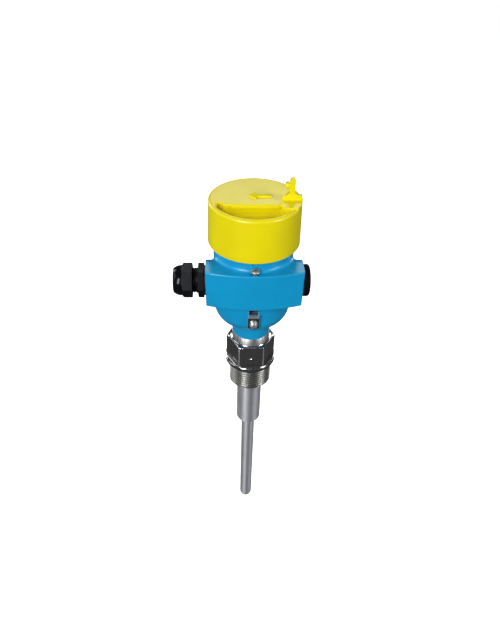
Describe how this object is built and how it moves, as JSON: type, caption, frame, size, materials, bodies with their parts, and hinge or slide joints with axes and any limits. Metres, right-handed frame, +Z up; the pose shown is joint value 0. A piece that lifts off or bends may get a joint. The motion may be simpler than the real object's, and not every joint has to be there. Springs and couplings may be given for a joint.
{
  "type": "level switch",
  "caption": "Vibrating rod level switch: a steel hexagon and thread carry a stepped sensing rod below a round housing with a cable gland, a blind plug and a screw lid.",
  "frame": {"origin": "on the axis of the process thread, in the sealing face under the fitting's flange", "axes": "+Z up along the sensing rod's axis towards the lid, -Y towards the bowed front of the entry block, -X towards the cable gland"},
  "size_m": [0.0891, 0.0622, 0.3468],
  "materials": {
    "stainless_steel": "turned stainless steel, bright hexagon and rods",
    "zinc_steel": "zinc-plated steel",
    "contact_brass": "rolled brass sheet",
    "housing_blue": "die-cast aluminium, satin blue powder coat",
    "lid_yellow": "die-cast aluminium, satin yellow powder coat",
    "gland_black": "black moulded polyamide",
    "seal_rubber": "black rubber",
    "insulator_ceramic": "white ceramic",
    "piezo_ceramic": "silvered piezo ceramic",
    "lead_sleeve": "red wire sleeve",
    "module_grey": "moulded grey plastic",
    "terminal_green": "moulded green plastic",
    "switch_white": "moulded white plastic",
    "led_lens": "clear red lens"
  },
  "bodies": {
    "base": {"process_fitting": "stainless_steel", "sensor_tube": "stainless_steel", "sensing_rod": "stainless_steel", "spigot_o_ring": "seal_rubber", "gland_gasket": "seal_rubber", "plug_gasket": "seal_rubber", "insulator_rings": "insulator_ceramic", "piezo_rings": "piezo_ceramic", "electrodes": "contact_brass", "preload_nut": "zinc_steel", "sensor_leads": "lead_sleeve", "housing": "housing_blue", "lock_screw": "zinc_steel", "earth_screw": "zinc_steel", "earth_washer": "zinc_steel", "earth_clamp": "zinc_steel", "module_screws": "zinc_steel", "gland_body": "gland_black", "blind_plug": "gland_black", "electronics_module": "module_grey", "terminal_block": "terminal_green", "terminal_clamps": "contact_brass", "terminal_screws": "zinc_steel", "status_led": "led_lens"},
    "lid_seal": {"lid_seal": "seal_rubber"},
    "lid": {"lid": "lid_yellow"},
    "gland_seal": {"gland_seal": "seal_rubber"},
    "gland_nut": {"gland_nut": "gland_black"},
    "mode_switch": {"mode_switch": "switch_white"},
    "sensitivity_dial": {"sensitivity_dial": "switch_white"}
  },
  "joints": [
    {"name": "lid_lift", "type": "slide", "parent": "base", "child": "lid_seal", "axis": [0, 0, 1], "range_m": [0, 0.0161]},
    {"name": "lid_turn", "type": "hinge", "parent": "lid_seal", "child": "lid", "pos_m": [0, 0, 0.1068], "axis": [0, 0, 1], "range_deg": [0, 2880]},
    {"name": "gland_seal_slide", "type": "slide", "parent": "base", "child": "gland_seal", "axis": [-1, 0, 0], "range_m": [-0.0016, 0.0046]},
    {"name": "gland_nut_turn", "type": "hinge", "parent": "gland_seal", "child": "gland_nut", "pos_m": [-0.0403, -0.0161, 0.0849], "axis": [-1, 0, 0], "range_deg": [-360, 1080]},
    {"name": "mode_switch_slide", "type": "slide", "parent": "base", "child": "mode_switch", "axis": [1, 0, 0], "range_m": [0, 0.003]},
    {"name": "sensitivity_dial_turn", "type": "hinge", "parent": "base", "child": "sensitivity_dial", "pos_m": [0, -0.0075, 0.076], "axis": [0, 0, 1], "range_deg": [-135, 135]}
  ],
  "couplings": [
    {"joint": "lid_lift", "follows": "lid_turn", "m_per_rad": 0.00031831},
    {"joint": "gland_seal_slide", "follows": "gland_nut_turn", "m_per_rad": 0.00023873}
  ]
}
